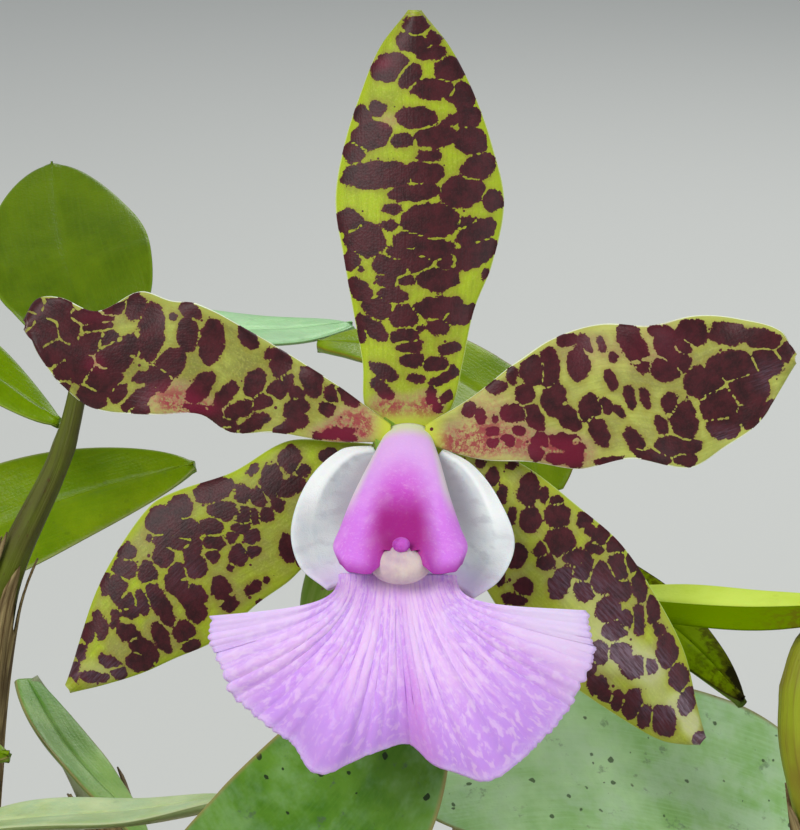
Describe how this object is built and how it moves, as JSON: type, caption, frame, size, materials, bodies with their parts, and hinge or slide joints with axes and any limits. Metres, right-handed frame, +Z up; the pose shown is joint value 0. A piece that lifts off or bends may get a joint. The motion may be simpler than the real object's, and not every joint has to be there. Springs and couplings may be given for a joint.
{
  "type": "potted cattleya aclandiae",
  "caption": "Potted orchid in flower: a clay pot of bark holds upright canes with leathery leaves and one spotted bloom with a broad fan-shaped lip",
  "frame": {"origin": "the middle of the flat underside of the pot, on its axis", "axes": "+Z up along the pot axis; -Y is the side that the bloom faces; +X is the right-hand side seen from there"},
  "size_m": [0.1729, 0.1219, 0.2539],
  "materials": {
    "terracotta": "matte unglazed clay",
    "bark": "rough",
    "rhizome": "dull with papery scales",
    "cane": "satin",
    "leaf": "satin, leathery",
    "root": "matte, velvety",
    "spathe": "papery",
    "pedicel": "satin",
    "tepal": "glossy, fleshy, dark maroon blotches",
    "lip": "soft, crystalline",
    "column": "soft, fleshy",
    "anther": "soft, waxy"
  },
  "bodies": {
    "root": {"anther_cap": "anther", "bark": "bark", "cane_behind": "cane", "cane_flowering": "cane", "cane_left": "cane", "cane_left_far": "cane", "cane_left_front": "cane", "cane_old": "cane", "cane_right": "cane", "cane_right_low": "cane", "column": "column", "leaf_behind_back": "leaf", "leaf_behind_front": "leaf", "leaf_flowering_lower": "leaf", "leaf_flowering_upper": "leaf", "leaf_left_far_arched": "leaf", "leaf_left_far_inner": "leaf", "leaf_left_front_long": "leaf", "leaf_left_front_short": "leaf", "leaf_left_inner": "leaf", "leaf_left_upper": "leaf", "leaf_old_drooping": "leaf", "leaf_right_inner": "leaf", "leaf_right_low_inner": "leaf", "leaf_right_low_outer": "leaf", "leaf_right_outer": "leaf", "lip": "lip", "ovary_and_pedicel": "pedicel", "petal_left": "tepal", "petal_right": "tepal", "pot": "terracotta", "rhizome": "rhizome", "root_back": "root", "root_front": "root", "root_front_right": "root", "root_left": "root", "root_right": "root", "sepal_dorsal": "tepal", "sepal_left": "tepal", "sepal_right": "tepal", "spathe": "spathe"}
  },
  "joints": []
}
